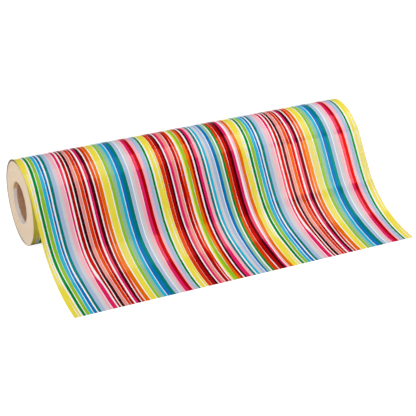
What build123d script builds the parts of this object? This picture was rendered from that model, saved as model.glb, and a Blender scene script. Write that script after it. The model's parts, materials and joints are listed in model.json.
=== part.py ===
from build123d import *

import os
from math import cos, degrees, radians, sin

# A counter roll of wrapping paper: a spiral-wound cardboard core, the web of paper wound on it,
# and the outermost turn running off the top of the roll into a free sheet that lies on the table.
#
# Frame: origin at the middle of the core's axis, +X along the axis, +Z up, and the free sheet
# runs off towards -Y. Millimetres. The roll and the sheet rest on the plane z = -ROLL_DIAMETER / 2.

# Driving dimensions
WEB_WIDTH = 500.0  # width of the paper, along the roll's axis
ROLL_DIAMETER = 120.6  # over the outermost turn
CORE_BORE = 50.8  # two inches, for a dispenser's spindle
CORE_RECESS = 5.0  # how far each end of the core lies inside the paper
SHEET = 0.3  # thickness that stands for a single layer of paper
GAP = 0.3  # between surfaces that move past each other

# Core: a thin ply inside and outside, and the board plies between them
FACE_PLY = 0.4
BOARD_PLY = 0.68
BOARD_PLIES = 5

# Start tape: holds the beginning of the web on the core
TAPE_WIDTH = 24.0
TAPE_THICKNESS = 0.15
TAPE_ANGLE = 50.0  # of its middle, in degrees from +Z towards +Y
TAPE_END_GAP = 0.5  # from the tape's end to the end of the web

# Free sheet: its underside, bend by bend as the paper leaves the roll, slopes below the horizontal
LEAVE_ANGLE = 4.0  # slope where the sheet starts, near the top of the roll
STEEP_ANGLE = 54.0  # slope of the straight drop beside the roll
SHALLOW_ANGLE = 19.0  # slope where the lower bend opens out
CUT_END_ANGLE = 10.0  # slope where the end that is pulled away begins
LOOSE_RADIUS = 77.0  # over the roll, larger than the roll because the paper sits loose
SWEEP_RADIUS = 120.0  # lower bend, hollow side up
LANDING_RADIUS = 200.0  # last bend, onto the table
END_REACH = 216.0  # from the roll's axis to the cut end of the sheet

# Worked out from the above
roll_radius = ROLL_DIAMETER / 2
table = -roll_radius
turn_inner_radius = roll_radius - SHEET
wound_radius = turn_inner_radius - GAP
bore_radius = CORE_BORE / 2
core_length = WEB_WIDTH - 2 * CORE_RECESS
core_radius = bore_radius + 2 * FACE_PLY + BOARD_PLIES * BOARD_PLY
sheet_start_radius = roll_radius + GAP


def slope(angle):
    """Direction of the sheet where it falls at this angle, in the plane of Y and Z."""
    return (-cos(radians(angle)), -sin(radians(angle)))


def drop(radius, first, last):
    """Height lost along a bend of this radius between two slopes."""
    return radius * abs(cos(radians(first)) - cos(radians(last)))


def run(radius, first, last):
    """Distance covered towards -Y along a bend of this radius between two slopes."""
    return radius * abs(sin(radians(first)) - sin(radians(last)))


sheet_start = (
    -sheet_start_radius * sin(radians(LEAVE_ANGLE)),
    sheet_start_radius * cos(radians(LEAVE_ANGLE)),
)
bends_drop = (
    drop(LOOSE_RADIUS, LEAVE_ANGLE, STEEP_ANGLE)
    + drop(SWEEP_RADIUS, STEEP_ANGLE, SHALLOW_ANGLE)
    + drop(LANDING_RADIUS, SHALLOW_ANGLE, 0)
)
straight_drop = sheet_start[1] - table - bends_drop
straight_length = straight_drop / sin(radians(STEEP_ANGLE))

os.makedirs("parts", exist_ok=True)


# Core: plies one inside the other, each a tube
ply_thicknesses = [FACE_PLY] + [BOARD_PLY] * BOARD_PLIES + [FACE_PLY]
ply_names = (
    ["core_inner_ply"]
    + [f"core_board_ply_{number}" for number in range(1, BOARD_PLIES + 1)]
    + ["core_outer_ply"]
)
inside = bore_radius
for name, thickness in zip(ply_names, ply_thicknesses):
    with BuildPart() as ply:
        with BuildSketch(Plane.YZ):
            Circle(inside + thickness)
            Circle(inside, mode=Mode.SUBTRACT)
        extrude(amount=core_length / 2, both=True)
    ply.part.label = name
    export_step(ply.part, f"parts/{name}.step")
    inside += thickness


def tape_outline(thickness):
    """The tape's cross-section: a band of that thickness, bent round the core."""
    turn = degrees(TAPE_WIDTH / core_radius)
    first = 90 - TAPE_ANGLE - turn / 2
    with BuildSketch(Plane.YZ, mode=Mode.PRIVATE) as outline:
        with BuildLine():
            low = CenterArc((0, 0), core_radius, first, turn)
            high = CenterArc((0, 0), core_radius + thickness, first, turn)
            Line(low @ 0, high @ 0)
            Line(low @ 1, high @ 1)
        make_face()
    return outline.sketch


# Start tape: lies along the core, and shows in the recess at each end
with BuildPart() as start_tape:
    extrude(tape_outline(TAPE_THICKNESS), amount=WEB_WIDTH / 2 - TAPE_END_GAP, both=True)
start_tape.part.label = "start_tape"
export_step(start_tape.part, "parts/start_tape.step")


# Wound paper: every turn of the web but the outermost, with room for the tape under the first
with BuildPart() as wound_paper:
    with BuildSketch(Plane.YZ):
        Circle(wound_radius)
        Circle(core_radius, mode=Mode.SUBTRACT)
    extrude(amount=WEB_WIDTH / 2, both=True)
    extrude(tape_outline(TAPE_THICKNESS), amount=WEB_WIDTH / 2, both=True, mode=Mode.SUBTRACT)
wound_paper.part.label = "wound_paper"
export_step(wound_paper.part, "parts/wound_paper.step")


# Outer turn: the last full turn of the web, loose enough for the roll to turn inside it
with BuildPart() as outer_turn:
    with BuildSketch(Plane.YZ):
        Circle(roll_radius)
        Circle(turn_inner_radius, mode=Mode.SUBTRACT)
    extrude(amount=WEB_WIDTH / 2, both=True)
outer_turn.part.label = "outer_turn"
export_step(outer_turn.part, "parts/outer_turn.step")


# Free sheet: from the top of the roll down to where the cut end begins
with BuildPart() as free_sheet:
    with BuildSketch(Plane.YZ):
        with BuildLine():
            over_roll = JernArc(sheet_start, slope(LEAVE_ANGLE), LOOSE_RADIUS, STEEP_ANGLE - LEAVE_ANGLE)
            fall = PolarLine(over_roll @ 1, straight_length, direction=slope(STEEP_ANGLE))
            lower_bend = JernArc(fall @ 1, slope(STEEP_ANGLE), SWEEP_RADIUS, SHALLOW_ANGLE - STEEP_ANGLE)
            landing = JernArc(
                lower_bend @ 1, slope(SHALLOW_ANGLE), LANDING_RADIUS, CUT_END_ANGLE - SHALLOW_ANGLE
            )
            offset(amount=SHEET, side=Side.RIGHT)
        make_face()
    extrude(amount=WEB_WIDTH / 2, both=True)
free_sheet.part.label = "free_sheet"
export_step(free_sheet.part, "parts/free_sheet.step")


# Cut end: the last of the landing bend, and the strip that lies flat on the table
cut_start_angle = CUT_END_ANGLE - degrees(GAP / LANDING_RADIUS)
cut_start = (
    (landing @ 1).X - run(LANDING_RADIUS, CUT_END_ANGLE, cut_start_angle),
    table + drop(LANDING_RADIUS, cut_start_angle, 0),
)
with BuildPart() as cut_end:
    with BuildSketch(Plane.YZ):
        with BuildLine():
            touch_down = JernArc(cut_start, slope(cut_start_angle), LANDING_RADIUS, -cut_start_angle)
            Line(touch_down @ 1, (-END_REACH, table))
            offset(amount=SHEET, side=Side.RIGHT)
        make_face()
    extrude(amount=WEB_WIDTH / 2, both=True)
cut_end.part.label = "cut_end"
export_step(cut_end.part, "parts/cut_end.step")
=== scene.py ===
"""The looks of a counter roll of striped wrapping paper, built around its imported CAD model.

The roll lies along X, the free sheet runs off its top towards -Y and lands on the table.
Lengths are in metres unless a name ends in _MM. "Along" is the distance on the paper from the
top of the roll towards the cut end, and "across" is the distance from its left edge.
"""

import json
from math import atan2, cos, hypot, pi, radians, sin

import bpy
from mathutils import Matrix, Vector, noise


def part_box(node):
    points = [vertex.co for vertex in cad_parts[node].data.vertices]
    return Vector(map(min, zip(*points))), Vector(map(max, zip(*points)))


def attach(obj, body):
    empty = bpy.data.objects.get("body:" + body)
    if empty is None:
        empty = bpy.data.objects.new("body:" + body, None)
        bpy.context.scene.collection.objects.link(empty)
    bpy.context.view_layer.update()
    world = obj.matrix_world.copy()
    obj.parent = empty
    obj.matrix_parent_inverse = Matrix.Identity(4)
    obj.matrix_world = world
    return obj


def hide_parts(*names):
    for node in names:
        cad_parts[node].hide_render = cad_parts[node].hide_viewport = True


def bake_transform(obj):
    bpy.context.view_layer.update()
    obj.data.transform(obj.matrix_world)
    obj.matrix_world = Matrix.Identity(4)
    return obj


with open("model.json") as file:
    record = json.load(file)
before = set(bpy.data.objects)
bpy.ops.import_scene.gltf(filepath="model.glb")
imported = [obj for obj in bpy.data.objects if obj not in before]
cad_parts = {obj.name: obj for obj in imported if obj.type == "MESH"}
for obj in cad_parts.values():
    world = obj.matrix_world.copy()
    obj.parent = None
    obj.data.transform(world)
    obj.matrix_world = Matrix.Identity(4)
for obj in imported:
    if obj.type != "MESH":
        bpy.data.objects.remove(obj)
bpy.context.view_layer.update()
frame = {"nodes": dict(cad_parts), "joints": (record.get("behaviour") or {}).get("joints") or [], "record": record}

MM = 0.001

# Camera
CAMERA_PLACE = Vector((-0.6859, -1.5761, 0.8582))
CAMERA_AZIMUTH = radians(-24.53)
CAMERA_ELEVATION = radians(28.21)
CAMERA_LENS_MM = 115.6
SENSOR_MM = 36.0

# Light: softboxes overhead, at the front right and at the left, one for reflections only, and a
# fill that reflections don't show
OVERHEAD_PLACE = (0.48, -0.07, 1.14)
OVERHEAD_SIZE = (1.06, 0.80)
OVERHEAD_RADIANCE = 3.2
FRONT_PLACE = (0.8425, -0.861, 0.887)
FRONT_AIM = (0.8425, -0.047, 0.005)
FRONT_SIZE = (0.415, 0.50)
FRONT_RADIANCE = 3.4
SHEEN_PLACE = (0.8425, -0.852, 0.877)  # the one for reflections, just before the front softbox
SHEEN_RADIANCE = 4.0
SIDE_PLACE = (-1.5, -0.5, 0.55)
SIDE_AIM = (-0.25, 0.0, 0.0)
SIDE_SIZE = (0.9, 0.9)
SIDE_RADIANCE = 3.2
FILL_COLOUR = (0.93, 0.96, 1.0)
FILL_STRENGTH = 0.57

# Table
FLOOR_REACH = 40.0
FLOOR_GREY = 0.3  # of the table that the camera sees, besides its glow
FLOOR_GLOW = 0.92
BOUNCE_GREY = 0.62  # of the table that lights the paper
BOUNCE_DROP = 0.2 * MM  # how far below the other one that lies
SHADE_RISE = 0.02 * MM  # how far above them the roll's shade lies
SHADE_REACH = 90 * MM  # of the shade beneath the roll, each way from its axis

# Paper
PAPER = 0.15 * MM  # thickness of the sheet
SETTLE = 0.38 * MM  # how far the outermost layer settles onto the roll, a quarter turn back
SPIRAL_STEP = 0.2 * MM  # and how far it tightens besides, over a full turn
HIDDEN_OVERLAP = radians(8)  # how far that turn goes on beneath the sheet that leaves it
ROLL_ROW = 3.0 * MM  # mesh spacing along the paper, on the roll
FREE_ROW = 2.0 * MM  # and on the free sheet
SEAM_ROW = 0.1 * MM  # and where the two meet, so that no line shows there
COLUMNS = 100  # mesh spacing across the paper
COCKLE = 0.22 * MM  # how far the free sheet waves out of its profile
COCKLE_LENGTH = 110 * MM
COCKLE_START = 50 * MM  # past the roll, over which the waves grow
COCKLE_HEIGHT = 30 * MM  # above the table, over which they fade

# Free sheet's profile: slopes below the horizontal and radii of its bends, as in the CAD model
STEEP_SLOPE = radians(54)
SHALLOW_SLOPE = radians(19)
LOOSE_RADIUS = 77 * MM
SWEEP_RADIUS = 120 * MM
LANDING_RADIUS = 200 * MM

# Layers that show on the roll's ends
LAYER_PITCH = 0.6 * MM
LAYER_GAP = 0.001  # between neighbouring rings of edges, as a share of the pitch
LAYER_SEGMENTS = 180
LAYER_STEP = 0.16 * MM  # how unevenly single layers end
LAYER_DRIFT = 0.30 * MM  # how unevenly the whole stack ends
RIM_SHADE_DEPTH = 3.0 * MM  # depth of the outermost layers that painted shade darkens towards the back
RIM_SHADE_FADE = 20 * MM  # and over which that painted shade fades towards the front
TAPE_ROOM = 0.2 * MM  # how far the first turn stands off the core over the tape
TAPE_SLOPE = radians(4)  # and over which it comes back down beside it

# Core and tape
PLY_SEGMENTS = 96
PLY_EDGE = 0.06 * MM  # worn corner of each ply's cut end
PLY_ROUGH = 0.05 * MM  # roughness of the cut
PLY_SEAM = 0.5 * MM  # gap where a spiral ply butts against its own next turn
PLY_PITCH = 150 * MM  # length of core that one turn of the innermost ply covers
PLY_ROW_TURN = radians(8)  # mesh spacing along that ply, as an angle of its seam
PLY_ROWS = 4  # mesh rows along the other plies
PLY_SEAM_STEP = 2.4  # angle between the seams of neighbouring plies
TAPE_TOOTH = 0.8 * MM  # half the pitch of the teeth at the tape's cut ends
TAPE_TOOTH_DEPTH = 0.5 * MM
TAPE_MARGIN = 6 * MM  # between the teeth and the first even row
TAPE_ROW = 20 * MM

# Sizes read from the CAD model
cut_low, cut_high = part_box("cut_end")
half_web = cut_high.x
table_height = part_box("outer_turn")[0].z
hinge = next(j for j in frame["joints"] if j["name"] == "sheet_lift")["pos_m"]
leave_slope = atan2(-hinge[1], hinge[2])
leave_radius = hypot(hinge[1], hinge[2])


# ---------------------------------------------------------------- camera, floor and light


def add_camera():
    """The camera, at the viewing angle of a product picture from the left and above."""
    data = bpy.data.cameras.new("camera")
    data.lens = CAMERA_LENS_MM
    data.sensor_width = SENSOR_MM
    camera = bpy.data.objects.new("camera", data)
    bpy.context.scene.collection.objects.link(camera)
    back = Vector((
        sin(CAMERA_AZIMUTH) * cos(CAMERA_ELEVATION),
        -cos(CAMERA_AZIMUTH) * cos(CAMERA_ELEVATION),
        sin(CAMERA_ELEVATION),
    ))
    camera.location = CAMERA_PLACE
    camera.rotation_euler = back.to_track_quat("Z", "Y").to_euler()
    bpy.context.scene.camera = camera


def add_softbox(name, place, aim, size, radiance):
    """A rectangular area light that looks equally bright from everywhere in front of it."""
    data = bpy.data.lights.new(name, "AREA")
    data.shape = "RECTANGLE"
    data.size, data.size_y = size
    data.energy = radiance * pi * size[0] * size[1]
    softbox = bpy.data.objects.new(name, data)
    bpy.context.scene.collection.objects.link(softbox)
    softbox.location = place
    softbox.rotation_euler = (Vector(place) - Vector(aim)).to_track_quat("Z", "Y").to_euler()
    return softbox


def add_fill():
    """An even fill from all round, left out of reflections so that the print keeps its depth."""
    world = bpy.data.worlds.new("fill")
    world.use_nodes = True
    background = world.node_tree.nodes["Background"]
    background.inputs["Color"].default_value = (*FILL_COLOUR, 1)
    background.inputs["Strength"].default_value = FILL_STRENGTH
    world.cycles_visibility.glossy = False
    bpy.context.scene.world = world


def add_table(name, height, grey, glow=0.0, far_x=FLOOR_REACH, far_y=FLOOR_REACH):
    """A matt table top that reaches that far along X and Y, both ways."""
    corners = [(-far_x, -far_y), (far_x, -far_y), (far_x, far_y), (-far_x, far_y)]
    mesh = bpy.data.meshes.new(name)
    mesh.from_pydata([(x, y, height) for x, y in corners], [], [(0, 1, 2, 3)])
    table = bpy.data.objects.new(name, mesh)
    bpy.context.scene.collection.objects.link(table)
    made = Material(name)
    made.set("Base Color", (grey, grey, grey, 1))
    made.set("Roughness", 0.9)
    made.set("Specular IOR Level", 0.0)
    made.set("Emission Color", (1, 1, 1, 1))
    made.set("Emission Strength", glow)
    mesh.materials.append(made.data)
    return table


def add_floor():
    """The white table: a glowing one, a plain one that lights the paper, and a shade under the roll.

    The glowing one is what the camera and the gloss see. It can't be shaded, so the gloss sees a
    dark strip beneath the roll instead.
    """
    seen = add_table("floor", table_height, FLOOR_GREY, FLOOR_GLOW)
    seen.visible_diffuse = False
    seen.visible_shadow = False
    plain = add_table("floor_bounce", table_height - BOUNCE_DROP, BOUNCE_GREY)
    plain.visible_camera = False
    plain.visible_glossy = False
    shade = add_table("floor_shade", table_height + SHADE_RISE, 0.0, far_x=half_web, far_y=SHADE_REACH)
    shade.visible_camera = False
    shade.visible_diffuse = False
    shade.visible_shadow = False


# ---------------------------------------------------------------- materials


def linear(colour):
    """A colour of three numbers from 0 to 255, as a shader's linear colour."""
    parts = [c / 255 for c in colour]
    return tuple(c / 12.92 if c <= 0.04045 else ((c + 0.055) / 1.055) ** 2.4 for c in parts) + (1,)


class Material:
    """A material and short ways to add nodes to it. A value is a number, a colour or a socket."""

    def __init__(self, name):
        self.data = bpy.data.materials.new(name)
        self.data.use_nodes = True
        self.tree = self.data.node_tree
        self.shader = self.tree.nodes["Principled BSDF"]

    def set(self, socket, value):
        """Sets one of the shader's own sockets."""
        self.feed(self.shader.inputs[socket], value)

    def feed(self, socket, value):
        if isinstance(value, bpy.types.NodeSocket):
            self.tree.links.new(value, socket)
        else:
            socket.default_value = value

    def node(self, kind, **settings):
        added = self.tree.nodes.new("ShaderNode" + kind)
        for key, value in settings.items():
            setattr(added, key, value)
        return added

    def math(self, operation, *values, clamp=False):
        added = self.node("Math", operation=operation, use_clamp=clamp)
        for socket, value in zip(added.inputs, values):
            self.feed(socket, value)
        return added.outputs[0]

    def mix(self, factor, first, second, blend_type="MIX"):
        added = self.node("Mix", data_type="RGBA", blend_type=blend_type)
        self.feed(added.inputs["Factor"], factor)
        self.feed(added.inputs[6], first)
        self.feed(added.inputs[7], second)
        return added.outputs[2]

    def ramp(self, factor, stops, interpolation="LINEAR"):
        """A colour ramp. Each stop is a place from 0 to 1 and a colour."""
        added = self.node("ValToRGB")
        added.color_ramp.interpolation = interpolation
        elements = added.color_ramp.elements
        elements[0].position, elements[0].color = stops[0]
        elements.remove(elements[1])
        for place, colour in stops[1:]:
            elements.new(place).color = colour
        self.feed(added.inputs["Fac"], factor)
        return added.outputs["Color"]

    def curve(self, factor, points):
        """A smooth curve through points from 0 to 1 each way."""
        added = self.node("FloatCurve")
        shape = added.mapping.curves[0].points
        shape[0].location = points[0]
        shape[-1].location = points[-1]
        for point in points[1:-1]:
            shape.new(*point)
        added.mapping.update()
        self.feed(added.inputs["Value"], factor)
        return added.outputs["Value"]

    def uv(self, name):
        separate = self.node("SeparateXYZ")
        self.feed(separate.inputs[0], self.node("UVMap", uv_map=name).outputs["UV"])
        return separate.outputs["X"], separate.outputs["Y"]

    def place(self):
        separate = self.node("SeparateXYZ")
        self.feed(separate.inputs[0], self.node("TexCoord").outputs["Object"])
        return separate.outputs["X"], separate.outputs["Y"], separate.outputs["Z"]

    def combine(self, x=0.0, y=0.0, z=0.0):
        added = self.node("CombineXYZ")
        for socket, value in zip(added.inputs, (x, y, z)):
            self.feed(socket, value)
        return added.outputs[0]

    def polar(self):
        """Distance from X, and the angle about X from +Z towards +Y."""
        _, y, z = self.place()
        squares = self.math("ADD", self.math("MULTIPLY", y, y), self.math("MULTIPLY", z, z))
        return self.math("SQRT", squares), self.math("ARCTAN2", y, z)

    def scaled(self, *pairs):
        """A vector whose parts are values, each times a number."""
        return self.combine(*[self.math("MULTIPLY", value, number) for value, number in pairs])

    def noise(self, vector, scale=1.0, detail=2.0, roughness=0.5):
        added = self.node("TexNoise", noise_dimensions="3D")
        self.feed(added.inputs["Vector"], vector)
        added.inputs["Scale"].default_value = scale
        added.inputs["Detail"].default_value = detail
        added.inputs["Roughness"].default_value = roughness
        return added.outputs[0]

    def spread(self, value, low, high):
        """A noise value, which is mostly from 0.3 to 0.7, spread from low to high."""
        added = self.node("MapRange")
        self.feed(added.inputs["Value"], value)
        for name, number in (("From Min", 0.3), ("From Max", 0.7), ("To Min", low), ("To Max", high)):
            added.inputs[name].default_value = number
        return added.outputs["Result"]

    def bump(self, height, distance, after=None):
        """Turns a height from 0 to 1 into a normal, for relief of that depth."""
        added = self.node("Bump")
        added.inputs["Distance"].default_value = distance
        self.feed(added.inputs["Height"], height)
        if after is not None:
            self.feed(added.inputs["Normal"], after)
        return added.outputs["Normal"]


# ---------------------------------------------------------------- the print

INKS = {
    "paper": (234, 230, 228),
    "yellow": (230, 212, 64),
    "green": (4, 129, 38),
    "lime": (139, 183, 36),
    "sage": (141, 181, 150),
    "cyan": (30, 169, 201),
    "blue": (8, 111, 177),
    "teal": (5, 119, 114),
    "lavender": (160, 179, 207),
    "silver": (200, 197, 198),
    "pink": (235, 171, 182),
    "salmon": (228, 136, 128),
    "crimson": (223, 30, 96),
    "ruby": (176, 2, 4),
    "red": (214, 48, 0),
    "vermilion": (216, 54, 4),
    "orange": (226, 102, 0),
    "maroon": (80, 4, 12),
    "plum": (66, 4, 14),
}

# One repeat of the print from left to right: each stripe's ink and its width in millimetres
STRIPES_MM = [
    ("green", 3.5), ("paper", 1.7), ("lime", 4.4), ("cyan", 5.0), ("paper", 1.3),
    ("blue", 2.5), ("paper", 2.4), ("teal", 3.9), ("lavender", 5.4), ("silver", 4.7),
    ("pink", 5.0), ("paper", 1.3), ("crimson", 2.4), ("paper", 2.7), ("ruby", 4.1),
    ("paper", 1.9), ("maroon", 3.8), ("paper", 0.8), ("salmon", 3.3), ("paper", 1.1),
    ("vermilion", 4.3), ("paper", 0.9), ("ruby", 3.9), ("paper", 2.8), ("crimson", 3.4),
    ("maroon", 4.2), ("paper", 2.2), ("red", 4.0), ("orange", 4.9), ("paper", 2.0),
    ("yellow", 8.4), ("paper", 1.9), ("lime", 3.9), ("paper", 0.5), ("sage", 4.8),
    ("paper", 0.5), ("cyan", 3.9), ("paper", 1.2), ("blue", 4.3), ("teal", 4.9),
    ("paper", 0.8), ("lavender", 4.1), ("paper", 1.9), ("silver", 4.6), ("pink", 5.1),
    ("crimson", 4.8), ("ruby", 4.6), ("pink", 4.6), ("lavender", 4.8), ("paper", 0.7),
    ("green", 3.0), ("paper", 2.4), ("yellow", 9.1), ("paper", 0.8), ("vermilion", 4.8),
    ("paper", 0.6), ("ruby", 4.0), ("plum", 2.6), ("paper", 2.2), ("crimson", 4.0),
    ("salmon", 4.0), ("paper", 1.2), ("ruby", 4.2), ("vermilion", 4.6), ("paper", 3.0),
    ("yellow", 1.6), ("lime", 4.0), ("orange", 4.2), ("ruby", 3.4), ("paper", 2.6),
    ("plum", 2.8), ("crimson", 3.8), ("pink", 4.2), ("teal", 3.4), ("paper", 2.4),
    ("cyan", 3.5), ("silver", 4.4), ("lavender", 4.2), ("paper", 1.6), ("blue", 4.4),
    ("sage", 4.3), ("paper", 2.3), ("green", 3.0), ("vermilion", 4.6), ("ruby", 4.8),
    ("maroon", 3.9), ("crimson", 3.9), ("paper", 3.3), ("pink", 2.6), ("orange", 4.6),
    ("yellow", 8.4), ("paper", 2.3),
]
PRINT_START_MM = 7.4  # from the paper's left edge to the first whole repeat

# Pale lines inside the stripes: place in the repeat, half width, where along the paper they are
# widest as a share of LINE_LENGTH_MM, and the least share of their width that they keep
LINES_MM = [
    (9.8, 0.4, 0.2, 0.4), (87.2, 0.7, 0.4, 0.2), (144.3, 0.5, 0.9, 0.0), (175.2, 0.8, 0.55, 0.0),
    (207.7, 0.6, 0.48, 0.0), (220.3, 0.4, 0.0, 0.0), (279.4, 0.5, 0.45, 0.3),
    (302.5, 0.5, 0.1, 0.0), (309.0, 0.7, 0.6, 0.0),
]
LINE_LENGTH_MM = 100.0
LINE_PALENESS = 0.8

# How far the stripes have swayed sideways at the top of the roll and where the sheet lands, as
# (place across, sway to the right). In between, over STILL_MM along the paper, they are at rest.
SWAY_TOP_MM = [
    (4, 3.5), (15, 3.0), (18, 2.5), (23, 3.5), (33, 3.0), (37, 0.5), (43, 1.5), (47, 2.5),
    (53, 1.5), (66, 0.5), (72, -0.5), (92, 0.0), (113, -1.0), (123, -0.5), (139, 0.0), (144, -1.0),
    (152, -1.5), (164, 0.5), (178, 0.0), (198, 0.0), (203, 1.5), (214, 0.5), (222, 1.5), (236, 2.0),
    (246, 1.5), (260, 0.0), (274, 0.0), (285, 0.5), (299, 1.0), (308, 2.0),
]
SWAY_LANDING_MM = [
    (6, 4.5), (14, 4.5), (18, 3.5), (23, 5.0), (34, 4.5), (41, 5.5), (44, 4.0), (51, 7.5),
    (54, 7.0), (57, 5.5), (66, 5.5), (74, 4.0), (83, 3.5), (87, 2.0), (96, 4.0), (106, 2.5),
    (120, 2.0), (127, 3.5), (142, 3.5), (147, 1.5), (156, 2.0), (160, 0.5), (184, 0.0), (193, 1.5),
    (198, 0.5), (209, 1.5), (214, 0.0), (224, 2.0), (234, 1.5), (241, 3.5), (263, 3.0), (268, 1.0),
    (276, 1.5), (283, 3.5), (293, 5.0), (296, 3.0), (300, 1.5), (305, 2.0),
]
STILL_MM = (88.0, 138.0)
SWAY_LENGTH_MM = 96.0  # from rest to the full sway, each way
SWAY_SPAN_MM = 20.0  # sideways range that the sway curves hold

INK_SPREAD_MM = 0.2  # how far ink spreads over bare paper on each side of a stripe
WOBBLE_MM = 0.22  # how unsteady the sides of the stripes are
STREAK_SHADES = (0.94, 1.05)  # darkest and lightest streaks in the ink

# How inks shine
PALE_FROM = (0.4, 0.8)  # brightest channel of inks from deep to pale
PALE_GLOSS = 0.5
DEEP_GLOSS = 0.04
DEEP_HAZE = 0.6
TINT_LEAST = 0.12  # tint of the gloss in a channel that the ink is full of
TINT_LACK = 0.5  # and how much more it has where the ink lacks that channel
YELLOW_LACK = 1.6  # how much more yet in the blue of yellowish inks
BLUE_KEEP = 4.0  # how soon the tint's blue fades as an ink turns from pink or yellow to red
DEEP_METALLIC = 0.15  # how metallic the deepest inks are
DEEP_UNDER = 0.6  # brightest channel of an ink that isn't metallic
RED_METALLIC = 0.34  # how metallic the deepest reds are
HAZE_ROUGHNESS = 0.25
SHOW_THROUGH = 0.07  # how much of the print shows on the back

PANELS = 10  # ramps that share out the repeat, because one ramp holds at most 32 stops


def repeat_mm():
    return sum(width for ink, width in STRIPES_MM)


def stripe_places():
    """Each stripe's ink and its two sides, as shares of the repeat."""
    places = []
    left = 0.0
    for number, (ink, width) in enumerate(STRIPES_MM):
        right = left + width
        before, after = STRIPES_MM[number - 1][0], STRIPES_MM[(number + 1) % len(STRIPES_MM)][0]
        gain = INK_SPREAD_MM * ((before == "paper") - (ink == "paper"))
        gain_after = INK_SPREAD_MM * ((after == "paper") - (ink == "paper"))
        places.append((ink, (left - gain) / repeat_mm(), (right + gain_after) / repeat_mm()))
        left = right
    return places


def ink_stops(panel):
    """The stops for a panel's stripes, from 0 to 1 over that panel."""
    stops = []
    for ink, left, right in stripe_places():
        start, end = left * PANELS - panel, right * PANELS - panel
        if end > 1e-6 and start < 1:
            stops.append((max(start, 0.0), linear(INKS[ink])))
    return stops


def line_stops(panel):
    """The stops for a panel's pale lines: height, place along and least share, in R, G and B."""
    stops = [(0.0, (0, 0, 0, 1))]
    for middle, half, along, least in LINES_MM:
        for offset, height in ((-half, 0), (0, 1), (half, 0)):
            place = (middle + offset) / repeat_mm() * PANELS - panel
            if 0 < place < 1:
                stops.append((place, (height, along, least, 1)))
    return stops


def sway(made, share, along):
    """How far the print has swayed to the right, in mm, at a share of the repeat."""
    total = None
    for table, still, side in ((SWAY_TOP_MM, STILL_MM[0], -1), (SWAY_LANDING_MM, STILL_MM[1], 1)):
        joined = (table[0][1] + table[-1][1]) / 2 / SWAY_SPAN_MM + 0.5
        inner = [(place / repeat_mm(), far / SWAY_SPAN_MM + 0.5) for place, far in table]
        height = made.curve(share, [(0.0, joined), *inner, (1.0, joined)])
        end = made.math("MULTIPLY", made.math("SUBTRACT", height, 0.5), SWAY_SPAN_MM)
        past = made.math("SUBTRACT", along, still)
        way = made.math("MULTIPLY", past, side / SWAY_LENGTH_MM, clamp=True)
        turn = made.math("COSINE", made.math("MULTIPLY", way, pi))
        part = made.math("MULTIPLY", made.math("MULTIPLY_ADD", turn, -0.5, 0.5), end)
        total = part if total is None else made.math("ADD", total, part)
    return total


def over_panels(made, share, stops, interpolation="LINEAR"):
    """A colour ramp over the whole repeat, made of one ramp for each panel."""
    in_panels = made.math("MULTIPLY", share, float(PANELS))
    number = made.math("FLOOR", in_panels)
    in_panel = made.math("SUBTRACT", in_panels, number)
    colour = made.ramp(in_panel, stops(0), interpolation)
    for panel in range(1, PANELS):
        here = made.math("COMPARE", number, float(panel), 0.5)
        colour = made.mix(here, colour, made.ramp(in_panel, stops(panel), interpolation))
    return colour


def with_pale_lines(made, colour, share, along):
    """The stripes with the pale lines over them, which swell and thin along the paper."""
    parts = made.node("SeparateColor")
    made.feed(parts.inputs[0], over_panels(made, share, line_stops))
    height, phase, least = parts.outputs
    turns = made.math("SUBTRACT", made.math("DIVIDE", along, LINE_LENGTH_MM), phase)
    swing = made.math("COSINE", made.math("MULTIPLY", turns, 2 * pi))
    width = made.math("MAXIMUM", made.math("MULTIPLY_ADD", swing, 0.5, 0.5), least)
    shown = made.math("GREATER_THAN", height, made.math("SUBTRACT", 1.0, width))
    return made.mix(made.math("MULTIPLY", shown, LINE_PALENESS), colour, linear(INKS["paper"]))


def print_colour(made):
    """The striped print, with its sway, its pale lines and the streaks that a brush leaves."""
    across_m, along_m = made.uv("web")
    across = made.math("MULTIPLY_ADD", across_m, 1 / MM, -PRINT_START_MM)
    along = made.math("DIVIDE", along_m, MM)
    wobble = made.noise(made.scaled((across, 0.25), (along, 0.03)))
    across = made.math("ADD", across, made.spread(wobble, -WOBBLE_MM, WOBBLE_MM))
    share = made.math("FRACT", made.math("DIVIDE", across, repeat_mm()))
    back = made.math("SUBTRACT", across, sway(made, share, along))
    share = made.math("FRACT", made.math("DIVIDE", back, repeat_mm()))
    colour = over_panels(made, share, ink_stops, "CONSTANT")
    colour = with_pale_lines(made, colour, share, along)
    streaks = made.noise(made.scaled((across, 2.2), (along, 0.02)))
    shade = made.spread(streaks, *STREAK_SHADES)
    return made.mix(1.0, colour, made.combine(shade, shade, shade), "MULTIPLY")


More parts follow.
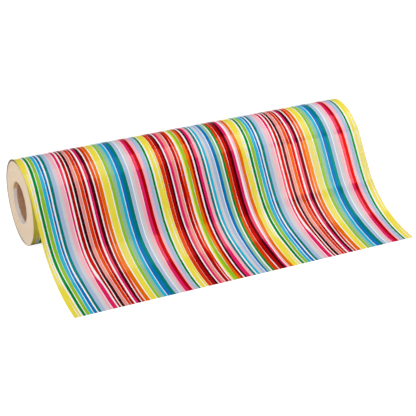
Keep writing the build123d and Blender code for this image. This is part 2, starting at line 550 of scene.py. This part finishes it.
def ink_gloss(made, colour):
    """How an ink shines: its gloss, the tint of that, how metallic it is, and its haze.

    Pale inks have a clear gloss, with more of the colours that they lack, but reds have no blue
    in theirs. Deep inks have little gloss. They turn hazy at a grazing angle and mirror in their
    own colour, the red ones most.
    """
    parts = made.node("SeparateColor")
    made.feed(parts.inputs[0], colour)
    red, green, blue = parts.outputs
    most = made.math("MAXIMUM", made.math("MAXIMUM", red, green), blue)
    pale = made.node("MapRange", interpolation_type="SMOOTHSTEP")
    made.feed(pale.inputs["Value"], most)
    pale.inputs["From Min"].default_value, pale.inputs["From Max"].default_value = PALE_FROM
    paleness = pale.outputs["Result"]
    gloss = made.math("MULTIPLY_ADD", paleness, PALE_GLOSS - DEEP_GLOSS, DEEP_GLOSS)
    haze = made.math("MULTIPLY_ADD", paleness, -DEEP_HAZE, DEEP_HAZE)

    green_share = made.math("POWER", made.math("DIVIDE", green, most), 2.0)
    lacks = [made.math("SUBTRACT", most, part) for part in (red, green, blue)]
    lacks[2] = made.math("MULTIPLY", made.math("MULTIPLY", lacks[2], green_share), YELLOW_LACK)
    tints = [made.math("MULTIPLY_ADD", lack, TINT_LACK, TINT_LEAST) for lack in lacks]
    not_red = made.math("MAXIMUM", green_share, made.math("DIVIDE", blue, most))
    blue_kept = made.math("MULTIPLY", not_red, BLUE_KEEP, clamp=True)
    tint = made.combine(tints[0], tints[1], made.math("MULTIPLY", tints[2], blue_kept))

    redness = made.math("SUBTRACT", 1.0, made.math("DIVIDE", green, red), clamp=True)
    depth = made.math("POWER", made.math("SUBTRACT", 1.0, most), 1.3)
    red_share = made.math("MULTIPLY", made.math("POWER", redness, 2.0), depth)
    deep_share = made.math("MULTIPLY_ADD", most, -DEEP_METALLIC / DEEP_UNDER, DEEP_METALLIC, clamp=True)
    metallic = made.math("MAXIMUM", made.math("MULTIPLY", red_share, RED_METALLIC), deep_share)
    return gloss, tint, metallic, haze


def printed_material():
    """Coated paper, printed: glossy ink over a very slightly uneven sheet."""
    made = Material("printed_paper")
    colour = print_colour(made)
    gloss, tint, metallic, haze = ink_gloss(made, colour)
    made.set("Base Color", colour)
    made.set("Metallic", metallic)
    made.set("Specular Tint", tint)
    made.set("Specular IOR Level", gloss)
    made.set("Sheen Weight", haze)
    made.set("Sheen Roughness", HAZE_ROUGHNESS)
    position = made.node("TexCoord").outputs["Object"]
    made.set("Roughness", made.spread(made.noise(position, 240.0, 3.0), 0.09, 0.13))
    fine = made.bump(made.noise(position, 1500.0, 2.0), 0.004 * MM)
    made.set("Normal", made.bump(made.noise(position, 60.0, 2.0), 0.02 * MM, fine))
    return made.data


def back_material():
    """The unprinted side: white and dull, with the stripes just showing through."""
    made = Material("paper_back")
    colour = print_colour(made)
    made.set("Base Color", made.mix(SHOW_THROUGH, linear((240, 234, 230)), colour))
    position = made.node("TexCoord").outputs["Object"]
    made.set("Roughness", made.spread(made.noise(position, 300.0, 2.0), 0.55, 0.68))
    made.set("Normal", made.bump(made.noise(position, 900.0, 3.0), 0.012 * MM))
    return made.data


def layers_material():
    """Paper seen edge on: hundreds of layers, cream, each a little lighter or darker, with painted shade on the
    outermost ones at the back.
    """
    made = Material("paper_edges")
    _, y, _ = made.place()
    radius, turned = made.polar()
    radius_mm = made.math("DIVIDE", radius, MM)
    wound = made.math("MULTIPLY_ADD", turned, LAYER_PITCH / MM / (2 * pi), radius_mm)
    rings = made.noise(made.combine(wound, made.math("MULTIPLY", turned, 0.35)), 2.6, 4.0, 0.75)
    bands = made.noise(made.combine(wound, made.math("MULTIPLY", turned, 0.2)), 0.22, 2.0)
    tone = made.ramp(made.spread(rings, 0.0, 1.0), [
        (0.0, linear((222, 192, 156))), (0.45, linear((244, 220, 190))), (1.0, linear((254, 242, 222))),
    ])
    tone = made.mix(made.spread(bands, 0.0, 0.35), tone, linear((228, 200, 166)))
    # Painted shade: the outermost layers turn dark olive towards the back, where the roll's outer edge lies in
    # shade, and this fades out towards the front.
    outside = tube_radii("wound_paper")[1]
    outermost = made.math("MULTIPLY_ADD", radius, 1 / RIM_SHADE_DEPTH, 1 - outside / RIM_SHADE_DEPTH)
    behind = made.math("MULTIPLY_ADD", y, 1 / RIM_SHADE_FADE, 1.0, clamp=True)
    rim_shade = made.math("MULTIPLY", made.math("MAXIMUM", outermost, 0.0), behind)
    tone = made.mix(rim_shade, tone, linear((64, 46, 20)))
    made.set("Base Color", tone)
    made.set("Roughness", 0.82)
    made.set("Specular IOR Level", 0.25)
    made.set("Normal", made.bump(rings, 0.12 * MM))
    return made.data


def edge_material():
    """The cut edge of a single sheet."""
    made = Material("sheet_edge")
    fibres = made.noise(made.node("TexCoord").outputs["Object"], 700.0, 2.0)
    tones = linear((206, 198, 176)), linear((236, 230, 214))
    made.set("Base Color", made.mix(made.spread(fibres, 0.0, 1.0), *tones))
    made.set("Roughness", 0.8)
    return made.data


def wall_material():
    """The back of the first turn, which shows round the core's recessed ends."""
    made = Material("first_turn_back")
    position = made.node("TexCoord").outputs["Object"]
    clouds = made.noise(position, 90.0, 3.0)
    tones = linear((250, 240, 234)), linear((255, 251, 248))
    made.set("Base Color", made.mix(made.spread(clouds, 0.0, 1.0), *tones))
    made.set("Roughness", 0.7)
    made.set("Normal", made.bump(made.noise(position, 900.0, 2.0), 0.01 * MM))
    return made.data


def kraft_material():
    """Brown kraft paper: long fibres, dark and pale flecks."""
    made = Material("kraft_ply")
    x, _, _ = made.place()
    _, turned = made.polar()
    fibres = made.noise(made.scaled((x, 900.0), (turned, 8.75)), 1.0, 5.0, 0.7)
    clouds = made.noise(made.node("TexCoord").outputs["Object"], 130.0, 3.0, 0.6)
    tone = made.ramp(made.spread(fibres, 0.0, 1.0), [
        (0.0, linear((160, 114, 82))), (0.5, linear((208, 160, 122))), (1.0, linear((236, 194, 158))),
    ])
    made.set("Base Color", made.mix(made.spread(clouds, 0.0, 0.4), tone, linear((162, 118, 88))))
    made.set("Roughness", made.spread(fibres, 0.62, 0.78))
    made.set("Normal", made.bump(fibres, 0.04 * MM))
    return made.data


def board_material():
    """Grey-brown core board, cut across: short fibres and darker glue lines."""
    made = Material("core_board")
    position = made.node("TexCoord").outputs["Object"]
    grain = made.noise(position, 1400.0, 4.0, 0.7)
    clouds = made.noise(position, 160.0, 2.0)
    tone = made.ramp(made.spread(grain, 0.0, 1.0), [
        (0.0, linear((118, 88, 64))), (0.5, linear((162, 126, 98))), (1.0, linear((192, 158, 126))),
    ])
    made.set("Base Color", made.mix(made.spread(clouds, 0.0, 0.35), tone, linear((134, 104, 80))))
    made.set("Roughness", 0.85)
    made.set("Normal", made.bump(grain, 0.08 * MM))
    return made.data


def tape_material():
    """Yellowish paper tape with a faint crepe across it and a slight sheen."""
    made = Material("tape")
    x, y, z = made.place()
    creases = made.noise(made.scaled((x, 1200.0), (y, 250.0), (z, 250.0)), 1.0, 3.0)
    tones = linear((214, 182, 116)), linear((240, 214, 156))
    made.set("Base Color", made.mix(made.spread(creases, 0.0, 1.0), *tones))
    made.set("Roughness", made.spread(creases, 0.34, 0.48))
    made.set("Normal", made.bump(creases, 0.02 * MM))
    return made.data


# ---------------------------------------------------------------- meshes


def add_piece(name, points, faces, slots, materials, smooth_angle=40):
    """A mesh object. slots gives each face's material, and edges sharper than the angle stay crisp."""
    mesh = bpy.data.meshes.new(name)
    mesh.from_pydata(points, [], faces)
    for material in materials:
        mesh.materials.append(material)
    mesh.polygons.foreach_set("material_index", slots)
    mesh.shade_smooth()
    mesh.set_sharp_from_angle(angle=radians(smooth_angle))
    piece = bpy.data.objects.new(name, mesh)
    bpy.context.scene.collection.objects.link(piece)
    return piece


def slab(rows, columns):
    """Faces that join two grids of points, a lower and an upper one, into a closed slab.

    Gives the faces and their slots: 0 for the upper side, 1 for the lower one, 2 for the edges.
    """
    width = columns + 1
    upper = rows * width
    faces = []
    for row in range(rows - 1):
        for a in range(row * width, row * width + columns):
            b = a + width
            faces.append(((a, a + 1, b + 1, b), 1))
            faces.append(((upper + a, upper + b, upper + b + 1, upper + a + 1), 0))
        a, b = row * width, row * width + columns
        faces.append(((a, a + width, upper + a + width, upper + a), 2))
        faces.append(((upper + b, upper + b + width, b + width, b), 2))
    last = (rows - 1) * width
    for a in range(columns):
        b = last + a
        faces.append(((a, upper + a, upper + a + 1, a + 1), 2))
        faces.append(((b + 1, upper + b + 1, upper + b, b), 2))
    return [face for face, slot in faces], [slot for face, slot in faces]


def free_spans():
    """The free sheet's profile as spans: length, start (y, z), start slope and turn per metre."""
    bends = [
        (LOOSE_RADIUS, leave_slope, STEEP_SLOPE),
        (SWEEP_RADIUS, STEEP_SLOPE, SHALLOW_SLOPE),
        (LANDING_RADIUS, SHALLOW_SLOPE, 0.0),
    ]
    fall = sum(radius * abs(cos(first) - cos(last)) for radius, first, last in bends)
    straight = (hinge[2] - table_height - fall) / sin(STEEP_SLOPE)
    spans = []
    place = (hinge[1], hinge[2])
    for radius, first, last in bends:
        length = radius * abs(last - first)
        turn = (last - first) / length
        spans.append((length, place, first, turn))
        place = along_span(spans[-1], length)[:2]
        if last == STEEP_SLOPE:
            spans.append((straight, place, last, 0.0))
            place = along_span(spans[-1], straight)[:2]
    spans.append((place[0] - cut_low.y, place, 0.0, 0.0))
    return spans


def along_span(span, distance):
    """(y, z, slope) at a distance along a span."""
    _, (y, z), slope, turn = span
    if turn == 0:
        return y - distance * cos(slope), z - distance * sin(slope), slope
    end = slope + turn * distance
    return y - (sin(end) - sin(slope)) / turn, z + (cos(end) - cos(slope)) / turn, end


SPANS = free_spans()


def profile(distance):
    """(y, z, slope) of the paper's underside at a distance past the line where it leaves the roll."""
    if distance < 0:
        slope = leave_slope + distance / leave_radius
        turned = -distance / leave_radius
        settled = min(turned / (pi / 2), 1.0)
        radius = leave_radius - SETTLE * settled**2 * (3 - 2 * settled) - SPIRAL_STEP * turned / (2 * pi)
        return -radius * sin(slope), radius * cos(slope), slope
    for span in SPANS[:-1]:
        if distance <= span[0]:
            return along_span(span, distance)
        distance -= span[0]
    return along_span(SPANS[-1], distance)


def cockle(x, distance):
    """How far the free sheet waves out of its profile: nothing at the roll and at the table."""
    if distance <= 0:
        return 0.0
    height = profile(distance)[1] - table_height
    freedom = min(distance / COCKLE_START, 1.0) * min(height / COCKLE_HEIGHT, 1.0)
    wave = noise.noise(Vector((x / COCKLE_LENGTH, distance / COCKLE_LENGTH, 3.7)))
    return COCKLE * freedom * (0.5 + wave)


def paper_strip(name, distances, materials):
    """A strip of the web with thickness, from the first distance past the roll to the last."""
    rows = len(distances)
    width = COLUMNS + 1
    points = []
    for layer in (0, 1):
        for distance in distances:
            y, z, slope = profile(distance)
            for column in range(width):
                x = -half_web + 2 * half_web * column / COLUMNS
                lift = cockle(x, distance) + layer * PAPER
                points.append((x, y - lift * sin(slope), z + lift * cos(slope)))
    strip = add_piece(name, points, *slab(rows, COLUMNS), materials)
    web = strip.data.uv_layers.new(name="web")
    start = leave_slope * leave_radius
    for loop in strip.data.loops:
        row, column = divmod(loop.vertex_index % (rows * width), width)
        web.data[loop.index].uv = (2 * half_web * column / COLUMNS, start + distances[row])
    return strip


def spaced(first, last, step):
    """Even places from first to last, about a step apart."""
    count = max(1, round((last - first) / step))
    return [first + (last - first) * i / count for i in range(count + 1)]


def split_distance():
    """Distance past the roll at which the cut end begins, where the CAD model has it."""
    low, high = 0.0, sum(span[0] for span in SPANS)
    while high - low > 1e-6:
        middle = (low + high) / 2
        if profile(middle)[0] > cut_high.y:
            low = middle
        else:
            high = middle
    return low


def add_outer_turn(materials):
    """The outermost turn, which lies on the roll and ends a little beneath the sheet it runs into."""
    distances = spaced(-(2 * pi + HIDDEN_OVERLAP) * leave_radius, -SEAM_ROW, ROLL_ROW) + [0.0]
    turn = paper_strip("printed_turn", distances, materials)
    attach(turn, "outer_wrap")
    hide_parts("outer_turn")


def add_free_sheet(materials):
    """The free sheet: it goes on from the outermost turn, comes down off the roll and lies down."""
    distances = [0.0] + spaced(SEAM_ROW, split_distance(), FREE_ROW)
    sheet = paper_strip("printed_sheet", distances, materials)
    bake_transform(sheet)
    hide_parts("free_sheet")


def add_cut_end(materials):
    """The end that is pulled away, which lies on the table."""
    distances = spaced(split_distance(), sum(span[0] for span in SPANS), FREE_ROW / 2)
    sheet = paper_strip("printed_cut_end", distances, materials)
    first, last = profile(distances[0]), profile(distances[-1])
    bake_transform(sheet)
    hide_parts("cut_end")


def layer_depth(turns, angle, end):
    """How far below the roll's end a layer lies, at a number of turns from the core."""
    around = Vector((0.8 * cos(angle), 0.8 * sin(angle), 0.0))
    single = noise.noise(around + Vector((0, 0, 2.1 * turns + 40 * end)))
    stack = noise.noise(around + Vector((0, 0, 0.17 * turns + 90 + 40 * end)))
    return max(0.0, LAYER_STEP * (0.5 + single) + LAYER_DRIFT * (0.5 + stack))


def hole_radius(angle, inner, tape_angles):
    """Radius of the hole at an angle: the first turn goes over the start tape."""
    low, high = tape_angles
    beside = max(low - angle, angle - high, 0.0)
    return inner + TAPE_ROOM * max(0.0, 1 - beside / TAPE_SLOPE)


def add_wound_paper(layers, wall, tape_angles):
    """The wound layers: a spiral of edges at each end, and the hole that holds the core."""
    inner, outer = tube_radii("wound_paper")
    count = round((outer - inner) / LAYER_PITCH)
    pitch = (outer - inner) / count
    outward = [(layer, edge) for layer in range(count + 1) for edge in (0, 1)]
    rings = [(-1, *place) for place in outward] + [(1, *place) for place in reversed(outward)]
    points = []
    for side, layer, edge in rings:
        for segment in range(LAYER_SEGMENTS):
            angle = 2 * pi * segment / LAYER_SEGMENTS
            turns = layer + angle / (2 * pi)
            radius = inner + pitch * (turns + edge * (1 - LAYER_GAP) - 0.5)
            radius = min(max(radius, hole_radius(angle, inner, tape_angles)), outer)
            x = side * (half_web - layer_depth(turns, angle, side > 0))
            points.append((x, radius * sin(angle), radius * cos(angle)))
    faces = []
    slots = []
    for index in range(len(rings)):
        a, b = LAYER_SEGMENTS * index, LAYER_SEGMENTS * ((index + 1) % len(rings))
        for segment in range(LAYER_SEGMENTS):
            after = (segment + 1) % LAYER_SEGMENTS
            faces.append((a + segment, a + after, b + after, b + segment))
            slots.append(1 if index == len(rings) - 1 else 0)
    piece = add_piece("wound_paper_layers", points, faces, slots, [layers, wall], smooth_angle=30)
    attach(piece, "roll")
    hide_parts("wound_paper")


def tube_radii(node):
    """Inner and outer radius of a CAD tube along X."""
    radii = [hypot(v.co.y, v.co.z) for v in frame["nodes"][node].data.vertices]
    return min(radii), max(radii)


def add_ply(node, material, number):
    """One ply of the core: a strip bent into a tube, with a seam where its sides meet.

    Plies are numbered from the bore. Only the first one's seam shows, and winds round the bore.
    """
    inner, outer = tube_radii(node)
    low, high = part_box(node)
    gap = PLY_SEAM / inner
    spiral = number == 0
    turn = 2 * pi / PLY_PITCH if spiral else 0.0
    count = round((high.x - low.x) * turn / PLY_ROW_TURN) if spiral else PLY_ROWS
    length = high.x - low.x - 2 * PLY_EDGE
    inside = [(low.x + PLY_EDGE + length * i / count, 0.0) for i in range(count + 1)]
    rows = [(low.x, PLY_EDGE)] + inside + [(high.x, PLY_EDGE)]
    points = []
    for row, (x, worn) in enumerate(rows):
        at_end = row in (0, len(rows) - 1)
        for radius in (inner + worn, outer - worn):
            for segment in range(PLY_SEGMENTS + 1):
                angle = PLY_SEAM_STEP * number + turn * x + gap / 2
                angle += (2 * pi - gap) * segment / PLY_SEGMENTS
                rough = noise.noise(Vector((x * 50, 9 * angle, 7.0 * number + radius * 900)))
                push = PLY_ROUGH * rough if at_end else 0.0
                points.append((x + push, radius * sin(angle), radius * cos(angle)))
    width = PLY_SEGMENTS + 1
    ring = list(range(width)) + list(range(2 * width - 1, width - 1, -1))
    faces = []
    for row in range(len(rows) - 1):
        a, b = 2 * width * row, 2 * width * (row + 1)
        for first, second in zip(ring, ring[1:] + ring[:1]):
            faces.append((a + first, b + first, b + second, a + second))
    for row, flip in ((0, False), (len(rows) - 1, True)):
        a = 2 * width * row
        for segment in range(PLY_SEGMENTS):
            face = (a + segment, a + segment + 1, a + width + segment + 1, a + width + segment)
            faces.append(face[::-1] if flip else face)
    piece = add_piece("wound_" + node, points, faces, [0] * len(faces), [material], smooth_angle=35)
    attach(piece, "roll")
    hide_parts(node)


def add_core(kraft, board):
    """The core's plies. The innermost shows its spiral seam in the bore."""
    nodes = [n for n in frame["record"]["behaviour"]["bodies"]["roll"] if "ply" in n]
    for number, node in enumerate(sorted(nodes, key=lambda n: tube_radii(n)[0])):
        material = board if "board" in node else kraft
        add_ply(node, material, number)


def tape_span():
    """The angles from +Z towards +Y between which the CAD tape lies."""
    angles = [atan2(v.co.y, v.co.z) for v in frame["nodes"]["start_tape"].data.vertices]
    return min(angles), max(angles)


def add_tape(material):
    """The start tape: a thin band along the core, cut with a toothed blade at both ends."""
    inner, outer = tube_radii("start_tape")
    low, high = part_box("start_tape")
    first, last = tape_span()
    across = 2 * round((last - first) * inner / TAPE_TOOTH / 2)
    rows = [low.x, low.x + 2 * TAPE_TOOTH_DEPTH]
    rows += spaced(low.x + TAPE_MARGIN, high.x - TAPE_MARGIN, TAPE_ROW)
    rows += [high.x - 2 * TAPE_TOOTH_DEPTH, high.x]
    points = []
    for radius in (inner, outer):
        for row, x in enumerate(rows):
            for column in range(across + 1):
                tooth = TAPE_TOOTH_DEPTH * (column % 2)
                inward = tooth if row == 0 else -tooth if row == len(rows) - 1 else 0.0
                angle = first + (last - first) * column / across
                points.append((x + inward, radius * sin(angle), radius * cos(angle)))
    faces, _ = slab(len(rows), across)
    faces = [face[:1] + face[:0:-1] for face in faces]  # its columns run the other way round
    piece = add_piece("toothed_start_tape", points, faces, [0] * len(faces), [material])
    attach(piece, "roll")
    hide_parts("start_tape")


# ---------------------------------------------------------------- the scene

add_camera()
add_floor()
add_softbox("overhead_softbox", OVERHEAD_PLACE, (OVERHEAD_PLACE[0], OVERHEAD_PLACE[1], 0.0),
            OVERHEAD_SIZE, OVERHEAD_RADIANCE)
add_softbox("front_softbox", FRONT_PLACE, FRONT_AIM, FRONT_SIZE, FRONT_RADIANCE)
sheen = add_softbox("front_sheen", SHEEN_PLACE, FRONT_AIM, FRONT_SIZE, SHEEN_RADIANCE)
sheen.visible_diffuse = False
add_softbox("side_softbox", SIDE_PLACE, SIDE_AIM, SIDE_SIZE, SIDE_RADIANCE)
add_fill()
bpy.context.scene.view_settings.view_transform = "Standard"

add_wound_paper(layers_material(), wall_material(), tape_span())
add_core(kraft_material(), board_material())
add_tape(tape_material())
web_materials = [printed_material(), back_material(), edge_material()]
add_outer_turn(web_materials)
add_free_sheet(web_materials)
add_cut_end(web_materials)

bpy.context.view_layer.update()
